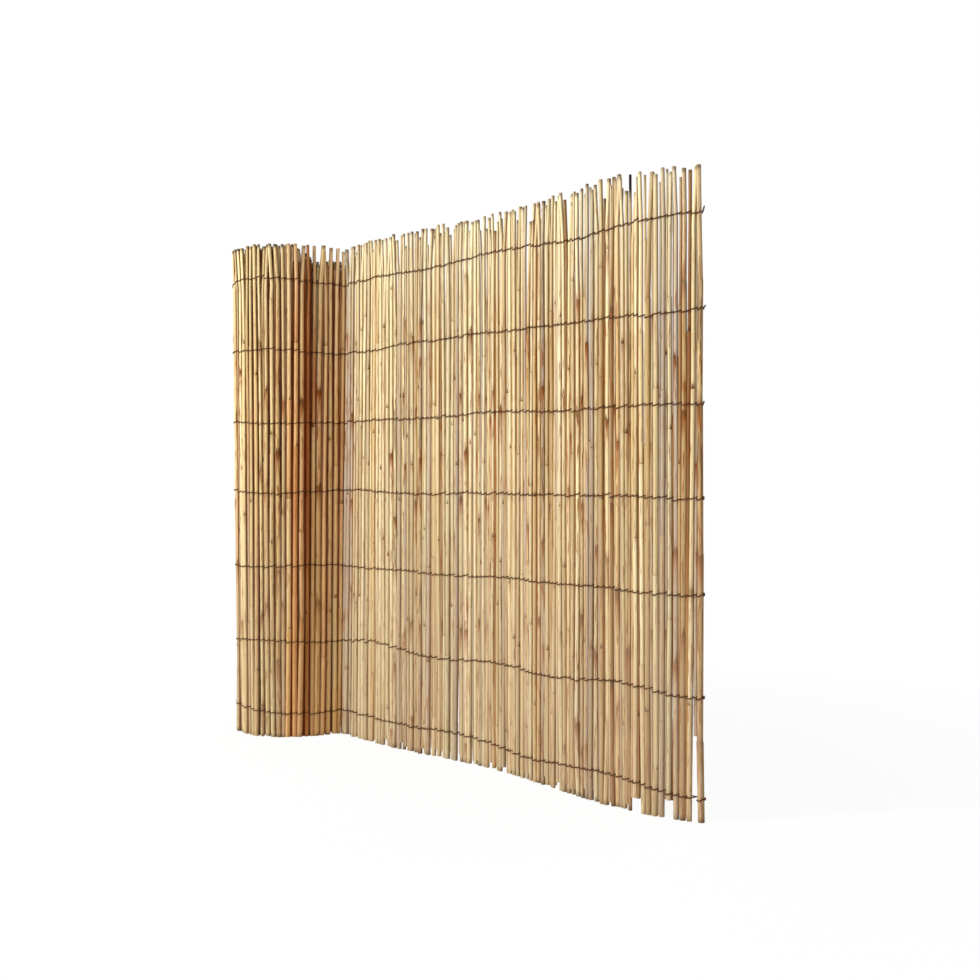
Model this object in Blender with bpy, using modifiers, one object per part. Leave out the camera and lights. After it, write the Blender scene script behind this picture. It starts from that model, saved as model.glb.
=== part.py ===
"""Reed screening roll: tapered reeds bound side by side by seven rows of wire.

The screen stands on its reed ends. Most of it is still wound in a loose roll with an open
bore, and the free end is pulled out in a gently waving stretch. Sizes are in metres, +Z is up
and +X runs from the roll to the free end. The origin is on the ground, at the middle of the
screen's outline.
"""

import math
import random

import bmesh
import bpy
from mathutils import Matrix, Vector

# The screen as it is sold, laid out flat.
SCREEN_LENGTH = 3.000
SCREEN_HEIGHT = 1.000
REED_PITCH = 0.0120
BUTT_DIAMETER = 0.0088
TIP_DIAMETER = 0.0064
REED_SIDES = 8

# Reed ends are cut a little unevenly. A share of the butts stands level on the ground.
TOP_UNEVENNESS = 0.016
BUTT_UNEVENNESS = 0.004
LEVEL_BUTTS_EVERY = 3
CUT_SEED = 7

# The gap between two reeds is cut into both faces of the layer and leaves this much at its
# middle. Above the top wire and below the bottom wire the gap goes right through. In the open
# stretch it also goes through between the wires, at every so many reeds.
GAP_FLOOR_THICKNESS = 0.0020
GAP_FLOOR_PAST_WIRE = 0.012
OPEN_GAP_EVERY = 7

# Binding wires: each row is one wire that runs along the front of the reeds, is bent round
# the edge reed and comes back along the rear.
WIRE_ROWS = 7
TOP_WIRE_BELOW_EDGE = 0.070
BOTTOM_WIRE_ABOVE_GROUND = 0.048
WIRE_DIAMETER = 0.0010
WIRE_CLEARANCE = 0.0003
LARGEST_REED_OFF_STRAIGHT = 0.0012
MOST_REEDS_PER_WIRE_STRAIGHT = 5
WIRE_WANDER = 0.006
WIRE_WANDER_LENGTH = 1.3

# The roll: the outermost reeds' axes lie on this radius, and each turn lies inside the last.
ROLL_RADIUS = 0.1160
TURN_SPACING = 0.0115
LEAVING_ANGLE_DEG = -17.0

# The stretch that is pulled out: a straight flank that leaves the roll, a sharp fold, then
# equal lengths that each turn a little, from the roll to the free end.
FLANK_LENGTH = 0.0733
FOLD_RADIUS = 0.0080
FOLD_DEG = -79.5
OPEN_STRETCH_LENGTH = 0.929
OPEN_STRETCH_TURNS_DEG = (4.0, 9.0, -5.0, -9.0, -2.0, 10.0, 22.0)

REED_COLOUR = (0.78, 0.60, 0.34, 1.0)
WIRE_COLOUR = (0.16, 0.12, 0.09, 1.0)

FLAT_TO_CORNER = 1 / math.cos(math.pi / REED_SIDES)


def clear_scene():
    """Removes what the file starts with."""
    for obj in list(bpy.data.objects):
        bpy.data.objects.remove(obj, do_unlink=True)


def new_collection(name, shown=True):
    """Makes a collection, which the scene leaves out if it isn't shown."""
    collection = bpy.data.collections.new(name)
    collection.hide_render = not shown
    bpy.context.scene.collection.children.link(collection)
    return collection


def new_material(name, colour, roughness, metallic=0.0):
    """A plain Principled material."""
    material = bpy.data.materials.new(name)
    material.use_nodes = True
    shader = material.node_tree.nodes["Principled BSDF"]
    shader.inputs["Base Color"].default_value = colour
    shader.inputs["Roughness"].default_value = roughness
    shader.inputs["Metallic"].default_value = metallic
    material.diffuse_color = colour
    return material


def heading_vector(angle):
    return Vector((math.cos(angle), math.sin(angle)))


class MatPath:
    """The line of the reeds' axes in plan, with the roll's axis at zero.

    A distance along it is counted from where the mat leaves the roll: positive towards the
    free end, negative into the roll. A station is a point and a heading towards the free end.
    """

    def __init__(self):
        self.leaving_angle = math.radians(LEAVING_ANGLE_DEG)
        fold = math.radians(FOLD_DEG)
        wave_length = OPEN_STRETCH_LENGTH / len(OPEN_STRETCH_TURNS_DEG)
        self.bends = [(FLANK_LENGTH, 0.0), (abs(fold) * FOLD_RADIUS, fold)]
        self.bends += [(wave_length, math.radians(turn)) for turn in OPEN_STRETCH_TURNS_DEG]
        self.open_length = sum(length for length, _ in self.bends)

    def station(self, distance):
        if distance < 0:
            return self.station_in_roll(-distance)
        return self.station_in_open(distance)

    def station_in_roll(self, distance):
        """The spiral loses one turn spacing of radius in each turn."""
        loss_per_radian = TURN_SPACING / math.tau
        radius = math.sqrt(ROLL_RADIUS**2 - 2 * loss_per_radian * distance)
        wound = (ROLL_RADIUS - radius) / loss_per_radian
        outward = heading_vector(self.leaving_angle - wound)
        heading = self.leaving_angle - wound + math.pi / 2
        return outward * radius, heading

    def station_in_open(self, distance):
        """A straight and tangent arcs, one after another."""
        point = heading_vector(self.leaving_angle) * ROLL_RADIUS
        heading = self.leaving_angle + math.pi / 2
        for length, turn in self.bends:
            here = min(distance, length)
            turned = turn * here / length
            chord = here * math.sin(turned / 2) / (turned / 2) if turned else here
            point = point + heading_vector(heading + turned / 2) * chord
            heading += turned
            distance -= here
            if distance <= 0:
                break
        return point, heading


def reed_radius(height):
    """Half of a reed's width at this height: the butts stand down and the tips up."""
    share = height / SCREEN_HEIGHT
    return (BUTT_DIAMETER + (TIP_DIAMETER - BUTT_DIAMETER) * share) / 2


def wire_heights():
    """The rows' heights from the top one down, evenly spaced."""
    top = SCREEN_HEIGHT - TOP_WIRE_BELOW_EDGE
    spacing = (top - BOTTOM_WIRE_ABOVE_GROUND) / (WIRE_ROWS - 1)
    return [top - row * spacing for row in range(WIRE_ROWS)]


def reed_distances(path):
    """Where each reed's axis lies along the path: (those in the roll, those in the open).

    They are counted from the free end inwards, and those in the open are given back in the
    order in which they leave the roll.
    """
    count = round(SCREEN_LENGTH / REED_PITCH)
    inwards = [path.open_length - (place + 0.5) * REED_PITCH for place in range(count)]
    rolled = [distance for distance in inwards if distance <= 0]
    opened = [distance for distance in reversed(inwards) if distance > 0]
    return rolled, opened


def plan_centre(path, distances):
    """The middle of the outline that the reeds and the wires round them fill in plan."""
    points = [path.station(distance)[0] for distance in distances]
    low = Vector((min(p.x for p in points), min(p.y for p in points)))
    high = Vector((max(p.x for p in points), max(p.y for p in points)))
    return (low + high) / 2


def cut_lengths(count, rng):
    """(lower end, upper end) of each reed in a run."""
    ends = []
    for index in range(count):
        level = index % LEVEL_BUTTS_EVERY == 0
        low = 0.0 if level else rng.uniform(0, BUTT_UNEVENNESS)
        high = SCREEN_HEIGHT - rng.uniform(0, TOP_UNEVENNESS)
        ends.append((low, high))
    return ends


def add_reeds(name, stations, ends, collection):
    """The reeds of a run: tapered sticks with flats towards their neighbours and the wires."""
    shape = bmesh.new()
    for (point, heading), (low, high) in zip(stations, ends):
        middle = Matrix.Translation((point.x, point.y, (low + high) / 2))
        bmesh.ops.create_cone(
            shape,
            cap_ends=True,
            segments=REED_SIDES,
            radius1=reed_radius(low) * FLAT_TO_CORNER,
            radius2=reed_radius(high) * FLAT_TO_CORNER,
            depth=high - low,
            matrix=middle @ Matrix.Rotation(heading + math.pi / REED_SIDES, 4, "Z"),
        )
    mesh = bpy.data.meshes.new(name)
    shape.to_mesh(mesh)
    shape.free()
    reeds = bpy.data.objects.new(name, mesh)
    reeds.display_type = "WIRE"
    reeds.hide_render = True
    collection.objects.link(reeds)
    return reeds


def floor_levels():
    """The heights at which the gap floor starts and ends, band by band, from the ground up."""
    levels = []
    for row in reversed(wire_heights()):
        levels += [row - GAP_FLOOR_PAST_WIRE, row + GAP_FLOOR_PAST_WIRE]
    return levels


def add_gap_floor(name, points, opens, collection):
    """The thin middle of the layer that the gaps leave, as a shell along the reeds' axes.

    Where opens is true for a gap, the shell is there only in a band round each wire.
    """
    levels = floor_levels()
    shape = bmesh.new()
    posts = []
    for index, point in enumerate(points):
        banded = any(opens[max(0, index - 1) : index + 1])
        heights = levels if banded else (levels[0], levels[-1])
        posts.append([shape.verts.new((point.x, point.y, height)) for height in heights])
    for post, after, is_open in zip(posts, posts[1:], opens):
        if is_open:
            for low in range(0, len(levels), 2):
                shape.faces.new((post[low], after[low], after[low + 1], post[low + 1]))
        else:
            shape.faces.new((*post[::-1], *after))
    mesh = bpy.data.meshes.new(name)
    shape.to_mesh(mesh)
    shape.free()
    floor = bpy.data.objects.new(name, mesh)
    collection.objects.link(floor)
    shell = floor.modifiers.new("thickness", "SOLIDIFY")
    shell.thickness = GAP_FLOOR_THICKNESS
    shell.offset = 0
    return floor


def add_reed_layer(name, path, distances, opens, shift, rng, shown, hidden, material):
    """A run of reeds as one solid, with the gaps between them cut into its faces."""
    stations = []
    for distance in distances:
        point, heading = path.station(distance)
        stations.append((point - shift, heading))
    reeds = add_reeds(name + "_sticks", stations, cut_lengths(len(stations), rng), hidden)
    layer = add_gap_floor(name, [point for point, _ in stations], opens, shown)
    join = layer.modifiers.new("reeds", "BOOLEAN")
    join.operation = "UNION"
    join.object = reeds
    layer.data.materials.append(material)
    return layer


def left_of_straight(points):
    """How far each point lies to the left of the straight from the first to the last."""
    straight = (points[-1] - points[0]).normalized()
    return [straight.cross(point - points[0]) for point in points]


def wire_stops(points):
    """Reeds at which a strand bends: as few as keep its straights close to the reeds."""
    stops = [0]
    while stops[-1] < len(points) - 1:
        here = stops[-1]
        step = 1
        while step < MOST_REEDS_PER_WIRE_STRAIGHT and here + step < len(points) - 1:
            apart = left_of_straight(points[here : here + step + 2])
            if max(map(abs, apart)) > LARGEST_REED_OFF_STRAIGHT:
                break
            step += 1
        stops.append(here + step)
    return stops


def wire_height(nominal, row, distance):
    """The rows aren't quite level: each one rises and sinks a little along the mat."""
    return nominal + WIRE_WANDER * math.sin(math.tau * distance / WIRE_WANDER_LENGTH + row)


def strand_points(path, distances, side, row, nominal, seat, shift):
    """One strand's points. Side is 1 on the left of the path and -1 on its right.

    Each straight runs parallel to the one between the two reeds that it bends at, as far off
    it as the reeds between them need.
    """
    points = [path.station(distance)[0] - shift for distance in distances]
    stops = wire_stops(points)
    straights = []
    for low, high in zip(stops, stops[1:]):
        rise = max(side * apart for apart in left_of_straight(points[low : high + 1]))
        straights.append(((points[high] - points[low]).normalized(), rise))
    line = []
    for index, stop in enumerate(stops):
        before, rise_before = straights[max(0, index - 1)]
        after, rise_after = straights[min(index, len(straights) - 1)]
        along = (before + after).normalized()
        out = (seat + max(rise_before, rise_after)) / along.dot(after)
        plan = points[stop] + Vector((-along.y, along.x)) * side * out
        line.append((plan.x, plan.y, wire_height(nominal, row, distances[stop])))
    return line


def points_round_edge(path, edge_distance, row, nominal, seat, shift):
    """The wire follows the edge reed's flats from its front to its rear."""
    point, heading = path.station(edge_distance)
    height = wire_height(nominal, row, edge_distance)
    step = math.tau / REED_SIDES
    corners = [step * (count + 0.5) for count in range(-REED_SIDES // 4, REED_SIDES // 4)]
    line = []
    for corner in corners:
        plan = point - shift + heading_vector(heading + corner) * (seat * FLAT_TO_CORNER)
        line.append((plan.x, plan.y, height))
    return line


def add_wire(row, nominal, path, rolled, opened, shift, collection, material):
    """One row's wire: in front from the roll to the free end, round it and back behind."""
    name = f"binding_wire_{row}"
    seat = reed_radius(nominal) + WIRE_CLEARANCE + WIRE_DIAMETER / 2
    one_turn = math.tau * (ROLL_RADIUS - TURN_SPACING / 2)
    outer_turn = [distance for distance in rolled if -distance < one_turn - REED_PITCH]
    forward = sorted(outer_turn) + opened
    line = strand_points(path, forward, -1, row, nominal, seat, shift)
    line += points_round_edge(path, opened[-1], row, nominal, seat, shift)
    line += reversed(strand_points(path, opened, 1, row, nominal, seat, shift))
    curve = bpy.data.curves.new(name, "CURVE")
    curve.dimensions = "3D"
    curve.bevel_depth = WIRE_DIAMETER / 2
    curve.bevel_resolution = 0
    curve.use_fill_caps = True
    spline = curve.splines.new("POLY")
    spline.points.add(len(line) - 1)
    for point, place in zip(spline.points, line):
        point.co = (*place, 1)
    wire = bpy.data.objects.new(name, curve)
    collection.objects.link(wire)
    curve.materials.append(material)
    return wire


def main():
    clear_scene()
    screen = new_collection("reed_screening_roll")
    hidden = new_collection("sticks", shown=False)
    reed_material = new_material("dry reed", REED_COLOUR, 0.6)
    wire_material = new_material("binding wire", WIRE_COLOUR, 0.5, metallic=0.8)
    rng = random.Random(CUT_SEED)
    path = MatPath()
    rolled, opened = reed_distances(path)
    shift = plan_centre(path, rolled + opened)
    for name, distances, open_every in (
        ("reed_roll", rolled, None),
        ("reed_sheet", opened, OPEN_GAP_EVERY),
    ):
        gaps = range(1, len(distances))
        opens = [bool(open_every) and gap % open_every == open_every // 2 for gap in gaps]
        add_reed_layer(name, path, distances, opens, shift, rng, screen, hidden, reed_material)
    for row, nominal in enumerate(wire_heights(), start=1):
        add_wire(row, nominal, path, rolled, opened, shift, screen, wire_material)


main()
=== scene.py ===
"""Looks of a standing reed screening roll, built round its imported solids.

The reeds are modelled as a set of canes with knots and hollow cut ends, which are copied,
tilted and cut along the same line as the solids. Two strands of wire are twined round them
in each row. Sizes are in metres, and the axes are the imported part's own.
"""

from __future__ import annotations

import logging
import math
import random
from dataclasses import dataclass, field
from enum import Enum
from typing import Any, Iterable, Sequence

import bpy
import numpy as np
from mathutils import Matrix, Vector

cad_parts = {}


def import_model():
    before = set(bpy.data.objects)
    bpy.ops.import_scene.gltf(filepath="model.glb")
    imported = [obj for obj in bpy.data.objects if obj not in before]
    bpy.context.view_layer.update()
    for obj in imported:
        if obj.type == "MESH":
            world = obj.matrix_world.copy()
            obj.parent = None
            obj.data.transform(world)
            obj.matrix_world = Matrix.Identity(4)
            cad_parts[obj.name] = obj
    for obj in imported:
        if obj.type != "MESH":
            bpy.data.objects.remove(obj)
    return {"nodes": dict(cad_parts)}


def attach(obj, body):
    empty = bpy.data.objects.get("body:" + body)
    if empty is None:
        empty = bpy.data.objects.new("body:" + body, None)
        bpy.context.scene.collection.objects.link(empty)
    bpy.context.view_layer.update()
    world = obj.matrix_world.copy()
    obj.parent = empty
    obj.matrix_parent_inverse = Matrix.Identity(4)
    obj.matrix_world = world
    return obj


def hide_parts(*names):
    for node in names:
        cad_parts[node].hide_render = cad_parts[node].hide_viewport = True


LOG = logging.getLogger("reed_screen")
Colour = tuple[float, float, float, float]


def srgb(red: int, green: int, blue: int) -> Colour:
    """Turns a colour as a screen shows it into the linear one that shaders use.

    Args:
        red: Red, from 0 to 255.
        green: Green, from 0 to 255.
        blue: Blue, from 0 to 255.

    Returns:
        The linear colour, opaque.
    """
    def linear(channel: int) -> float:
        """One channel's linear value."""
        share = channel / 255
        return share / 12.92 if share <= 0.04045 else ((share + 0.055) / 1.055) ** 2.4

    return (linear(red), linear(green), linear(blue), 1.0)


def plan_vector(angle: float) -> Vector:
    """A unit vector in plan at this angle from +X."""
    return Vector((math.cos(angle), math.sin(angle)))


def select_only(*pieces: bpy.types.Object) -> None:
    """Selects these objects and makes the first one active.

    Args:
        pieces: The objects.
    """
    bpy.ops.object.select_all(action="DESELECT")
    for piece in pieces:
        piece.select_set(True)
    bpy.context.view_layer.objects.active = pieces[0]


# ---------------------------------------------------------------- shader nodes


class Sock:
    """A shader socket that arithmetic works on, each operation adding a Math node."""

    def __init__(self, shader: "ShaderTree", socket: bpy.types.NodeSocket) -> None:
        """Keeps the socket and the tree that it is in."""
        self.shader = shader
        self.socket = socket

    def _math(self, operation: str, *values: "Sock | float") -> "Sock":
        """Adds one Math node on these values."""
        return self.shader.add("ShaderNodeMath", {"operation": operation}, values)

    def __add__(self, other: "Sock | float") -> "Sock":
        """Self plus other."""
        return self._math("ADD", self, other)

    def __radd__(self, other: float) -> "Sock":
        """Other plus self."""
        return self._math("ADD", other, self)

    def __sub__(self, other: "Sock | float") -> "Sock":
        """Self minus other."""
        return self._math("SUBTRACT", self, other)

    def __rsub__(self, other: float) -> "Sock":
        """Other minus self."""
        return self._math("SUBTRACT", other, self)

    def __mul__(self, other: "Sock | float") -> "Sock":
        """Self times other."""
        return self._math("MULTIPLY", self, other)

    def __rmul__(self, other: float) -> "Sock":
        """Other times self."""
        return self._math("MULTIPLY", other, self)

    def __pow__(self, other: float) -> "Sock":
        """Self to a power."""
        return self._math("POWER", self, other)

    def cosine(self) -> "Sock":
        """The cosine of self in radians."""
        return self._math("COSINE", self)

    def sine(self) -> "Sock":
        """The sine of self in radians."""
        return self._math("SINE", self)

    def size(self) -> "Sock":
        """Self without its sign."""
        return self._math("ABSOLUTE", self)

    def clamp(self) -> "Sock":
        """Self, held between 0 and 1."""
        settings = {"operation": "ADD", "use_clamp": True}
        return self.shader.add("ShaderNodeMath", settings, (self, 0.0))

    def ramp(self, low: float, high: float) -> "Sock":
        """Goes smoothly from 0 at low to 1 at high.

        Args:
            low: Where the result is 0.
            high: Where the result is 1. It may be under low.

        Returns:
            The result, between 0 and 1.
        """
        if low < high:
            settings = {"interpolation_type": "SMOOTHSTEP"}
            return self.shader.add("ShaderNodeMapRange", settings, (self, low, high, 0.0, 1.0))
        return 1.0 - self.ramp(high, low)


class ShaderTree:
    """The nodes of a material or of the world, with one method that adds any node."""

    def __init__(self, owner: bpy.types.Material | bpy.types.World) -> None:
        """Clears the owner's nodes and adds its output.

        Args:
            owner: The material or world that the nodes belong to.
        """
        owner.use_nodes = True
        self.owner = owner
        self.nodes = owner.node_tree.nodes
        self.links = owner.node_tree.links
        self.nodes.clear()
        kind = "World" if isinstance(owner, bpy.types.World) else "Material"
        self.output = self.nodes.new(f"ShaderNodeOutput{kind}")

    @classmethod
    def for_material(cls, name: str) -> "ShaderTree":
        """The tree of a new material."""
        return cls(bpy.data.materials.new(name))

    def add(
        self,
        kind: str,
        settings: dict[str, Any] | None = None,
        inputs: dict[Any, Any] | Iterable[Any] | None = None,
        output: int | str = 0,
    ) -> Sock:
        """Adds a node.

        Args:
            kind: The node's type.
            settings: Its properties, set first. The key "stops" fills a colour ramp.
            inputs: Values or links of its sockets, by name or in their order.
            output: Which of its sockets is given back.

        Returns:
            That socket.
        """
        node = self.nodes.new(kind)
        for key, value in (settings or {}).items():
            if key == "stops":
                self._fill_ramp(node.color_ramp, value)
            else:
                setattr(node, key, value)
        named = inputs.items() if isinstance(inputs, dict) else enumerate(inputs or ())
        for key, value in named:
            if isinstance(value, Sock):
                self.links.new(value.socket, node.inputs[key])
            else:
                node.inputs[key].default_value = value
        return Sock(self, node.outputs[output])

    @staticmethod
    def _fill_ramp(ramp: bpy.types.ColorRamp, stops: Sequence[tuple[float, Colour]]) -> None:
        """Gives a colour ramp these stops.

        Args:
            ramp: The ramp, new and with two stops.
            stops: The place and colour of each, from the left.
        """
        while len(ramp.elements) < len(stops):
            ramp.elements.new(0.5)
        for element, (place, colour) in zip(ramp.elements, stops):
            element.position = place
            element.color = colour

    def mix(self, share: Sock | float, first: Any, second: Any) -> Sock:
        """Mixes two colours.

        Args:
            share: How much of the second shows.
            first: The colour underneath.
            second: The colour on top.

        Returns:
            The mixed colour.
        """
        inputs = {0: share, 6: first, 7: second}
        return self.add("ShaderNodeMix", {"data_type": "RGBA"}, inputs, 2)

    def split(self, vector: Sock) -> tuple[Sock, Sock, Sock]:
        """Takes a vector apart.

        Args:
            vector: The vector or colour.

        Returns:
            Its three numbers.
        """
        node = self.nodes.new("ShaderNodeSeparateXYZ")
        self.links.new(vector.socket, node.inputs[0])
        return tuple(Sock(self, output) for output in node.outputs)

    def noise(self, vector: Sock, scale: float, detail: float = 2.0, rough: float = 0.5) -> Sock:
        """Noise, mostly between 0.3 and 0.7.

        Args:
            vector: Where it is read.
            scale: Its spots in one unit of the vector.
            detail: How many finer layers it has.
            rough: How much each finer layer counts.

        Returns:
            The noise as a number.
        """
        inputs = {"Vector": vector, "Scale": scale, "Detail": detail, "Roughness": rough}
        return self.add("ShaderNodeTexNoise", {"noise_dimensions": "3D"}, inputs)

    def seen_directly(self) -> Sock:
        """Tells the rays that show a background from those that light the object.

        Returns:
            One for camera, glossy and transmission rays, else zero.
        """
        node = self.nodes.new("ShaderNodeLightPath")
        kinds = ("Camera", "Glossy", "Transmission")
        camera, glossy, through = (Sock(self, node.outputs[f"Is {kind} Ray"]) for kind in kinds)
        return (camera + glossy + through).clamp()

    def finish(self, surface: Sock) -> Any:
        """Links the surface to the output and gives the material or world back."""
        self.links.new(surface.socket, self.output.inputs["Surface"])
        return self.owner


# -------------------------------------------------------------------- finishes


class Place(Enum):
    """The parts of the mat that have a reed finish of their own; roll and flank carry painted
    shade.
    """

    ROLL = "dry_reed_rolled"
    FLANK = "dry_reed_flank"
    SHEET = "dry_reed_open"


class Tone(Enum):
    """What a reed looks like, as a stretch of the reed finish's colour ramp."""

    GREY = (0.00, 0.10)
    STRAW = (0.24, 0.46)
    PALE = (0.48, 0.62)
    HONEY = (0.68, 0.78)
    RUST = (0.85, 0.91)
    # UMBER is painted shade, the near-black tone of the thin reeds tucked into the gaps of the
    # roll and the flank.
    UMBER = (0.97, 1.00)


@dataclass(frozen=True)
class Layer:
    """Noise on a stem: its spots across the stem and along a metre, and its fineness.

    The shift moves it along the stem, so that no two layers match.
    """

    across: float
    along: float
    shift: float = 0.0
    detail: float = 2.0
    rough: float = 0.5


class StemMaps:
    """What a reed's material reads at a point of its stem, as sockets.

    The metres along the stem count from a random start, those above and below from the
    nearest knots. The reed's own tone, light and spoil are the same all over it. Fresh goes
    from 1 to 0 over the darkest tones, lower from 0 to 1 towards the floor, and length is one
    number for all that lies between two knots.
    """

    def __init__(self, tree: ShaderTree, streaks: Layer) -> None:
        """Adds the nodes that read the canes' maps and attributes.

        Args:
            tree: The material's nodes.
            streaks: The noise of the streaks, which several marks follow.
        """
        self.tree = tree
        around, self.along, _ = tree.split(tree.add("ShaderNodeUVMap", {"uv_map": "stem"}))
        self.above, self.below, _ = tree.split(tree.add("ShaderNodeUVMap", {"uv_map": "knots"}))
        wear_and_side_shade = {"attribute_name": "wear_and_side_shade"}
        look = tree.add("ShaderNodeAttribute", wear_and_side_shade, None, "Color")
        self.tone, self.light, self.spoil = tree.split(look)
        # facing_side: how much the skin faces the next reeds along the mat, the mask of the
        # painted side shade.
        self.facing_side = tree.add("ShaderNodeAttribute", wear_and_side_shade, None, "Alpha")
        from_top = {"attribute_name": "from_top"}
        self.from_top = tree.add("ShaderNodeAttribute", from_top, None, "Fac")
        self.height = tree.split(tree.add("ShaderNodeTexCoord", None, None, "Object"))[2]
        self.turn = around * math.tau
        self.fresh = self.tone.ramp(0.94, 0.8)
        # lower carries the painted shade towards the floor.
        self.lower = self.height.ramp(0.75, 0.05)
        self.streak = self.noise(streaks)
        last_knot = (self.along - self.above) * 41.0
        joint = tree.add("ShaderNodeCombineXYZ", None, (last_knot, 0.0, 0.0))
        self.length = tree.noise(joint, 1.0, 0.0)

    def noise(self, layer: Layer) -> Sock:
        """Noise on the stem's skin.

        Args:
            layer: Its sizes.

        Returns:
            The noise as a number.
        """
        east, north = self.turn.cosine() * layer.across, self.turn.sine() * layer.across
        place = (east, north, self.along * layer.along + layer.shift)
        skin = self.tree.add("ShaderNodeCombineXYZ", None, place)
        return self.tree.noise(skin, 1.0, layer.detail, layer.rough)


@dataclass(frozen=True)
class ReedFinish:
    """Dry reed: straw to honey stems with long streaks, brown knots and a waxy sheen."""

    # Besides the reed's own colours, this finish paints light at the top, and shade towards the
    # foot and on the sides that face the next reeds.
    name: str = Place.SHEET.value
    grey: Colour = srgb(178, 162, 150)
    tan: Colour = srgb(198, 170, 124)
    straw: Colour = srgb(225, 202, 154)
    pale: Colour = srgb(247, 234, 193)
    honey: Colour = srgb(202, 166, 112)
    rust: Colour = srgb(150, 102, 54)
    umber: Colour = srgb(88, 34, 6)
    drift: Layer = Layer(0.15, 3.0)
    drift_share: float = 0.3
    joint_share: float = 0.45
    streaks: Layer = Layer(3.2, 5.0, detail=3.0, rough=0.6)
    dark_streaks: float = 0.5
    pale_streaks: float = 0.4
    veins: Layer = Layer(5.5, 2.2, shift=7.0)
    vein_share: float = 0.3
    blotches: Layer = Layer(1.5, 22.0, shift=3.0, rough=0.6)
    stain: Colour = srgb(144, 78, 26)
    stain_share: float = 0.95
    soot: Layer = Layer(0.3, 9.0, shift=5.0)
    soot_share: float = 0.6
    sheath: Layer = Layer(1.1, 26.0, shift=15.0, rough=0.6)
    sheath_share: float = 0.9
    patches: Layer = Layer(0.8, 9.0, shift=9.0, detail=1.0)
    knot: Colour = srgb(92, 52, 24)
    scar_share: float = 0.85
    node_share: float = 0.75
    # side is the colour of the veins and of the painted shade on the sides of each reed that face
    # the next reeds.
    side: Colour = srgb(128, 90, 26)
    side_shade_share: float = 0.88
    side_shade_from: float = 0.64
    # Painted light and shade from top to foot: the top paler, the foot duller and darker, as the
    # light falls off towards the floor.
    top_light_share: float = 0.36
    foot_shade: Colour = srgb(192, 164, 132)
    foot_shade_share: float = 0.45
    weathered: Colour = srgb(96, 76, 56)
    cap_share: float = 0.3
    burnt: Colour = srgb(44, 30, 26)
    hues: Layer = Layer(0.1, 2.5, shift=17.0, detail=0.0)
    hue: float = 0.502
    hue_drift: float = 0.035
    least_value: float = 0.82
    reed_value: float = 0.3
    joint_value: float = 0.2
    # foot_loss: painted shade, darker towards the floor.
    foot_loss: float = 0.1
    roughness: float = 0.6
    sheen_level: float = 0.12
    grain: Layer = Layer(7.0, 12.0, shift=11.0)
    grain_strength: float = 0.6
    grain_height: float = 0.00022

    def build(self) -> bpy.types.Material:
        """Makes the material.

        Returns:
            The material. It reads the canes' two UV maps and their attributes.
        """
        tree = ShaderTree.for_material(self.name)
        stem = StemMaps(tree, self.streaks)
        stained = self._stained(stem)
        base = self._marked(stem, self._ground(stem), stained)
        grain = stem.noise(self.grain)
        relief = {"Strength": self.grain_strength, "Distance": self.grain_height, "Height": grain}
        sockets = {
            "Base Color": self._shaded(stem, self._painted_light_and_wear(stem, base)),
            "Roughness": self.roughness + (stem.streak - 0.5) * 0.3 + stained * 0.2,
            "Specular IOR Level": self.sheen_level,
            "Normal": tree.add("ShaderNodeBump", None, relief),
        }
        return tree.finish(tree.add("ShaderNodeBsdfPrincipled", None, sockets))

    def _ground(self, stem: StemMaps) -> Sock:
        """The stem's own colour: its tone, which drifts and streaks along the fibres.

        Args:
            stem: What the material reads.

        Returns:
            The colour.
        """
        tree, fresh = stem.tree, stem.fresh
        drift = (stem.noise(self.drift) - 0.5) * self.drift_share
        joint = (stem.length - 0.5) * fresh * self.joint_share
        stops = (
            (0.0, self.grey),
            (0.2, self.tan),
            (0.36, self.straw),
            (0.56, self.pale),
            (0.74, self.honey),
            (0.88, self.rust),
            (1.0, self.umber),
        )
        place = (stem.tone + drift + joint).clamp()
        base = tree.add("ShaderNodeValToRGB", {"stops": stops}, (place,))
        base = tree.mix(stem.streak.ramp(0.46, 0.68) * self.dark_streaks * fresh, base, self.tan)
        base = tree.mix(stem.streak.ramp(0.5, 0.32) * self.pale_streaks * fresh, base, self.pale)
        veins = stem.noise(self.veins).ramp(0.5, 0.66)
        return tree.mix(veins * self.vein_share * fresh, base, self.side)

    def _stained(self, stem: StemMaps) -> Sock:
        """How brown the stem is at a point, between 0 and 1, from blotches on spoilt reeds.

        Args:
            stem: What the material reads.

        Returns:
            The share of stain.
        """
        blotch = stem.noise(self.blotches) + stem.spoil.ramp(0.86, 0.95) * 0.05
        return blotch.ramp(0.575, 0.62) * (0.4 + stem.spoil * 0.6)

    def _marked(self, stem: StemMaps, base: Sock, stained: Sock) -> Sock:
        """Lays the stains on, and at each knot its line, its scar and what is left of a sheath.

        Args:
            stem: What the material reads.
            base: The stem's own colour.
            stained: The share of stain.

        Returns:
            The marked colour.
        """
        tree, above, below, spoil = stem.tree, stem.above, stem.below, stem.spoil
        base = tree.mix(stained * self.stain_share, base, self.stain)
        soot = stem.noise(self.soot).ramp(0.5, 0.62) * spoil.ramp(0.88, 0.96)
        base = tree.mix(soot * self.soot_share, base, self.weathered)

        worn = stem.noise(self.sheath).ramp(0.32, 0.5)
        kept = spoil.ramp(0.5, 0.64) * stem.length.ramp(0.46, 0.51)
        sheath = below.ramp(0.07, 0.004) * kept * worn
        glow = above.ramp(0.02, 0.0) * 0.4 * spoil + below.ramp(0.03, 0.0) * 0.3 * spoil
        base = tree.mix((glow + sheath * self.sheath_share).clamp(), base, self.stain)

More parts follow.
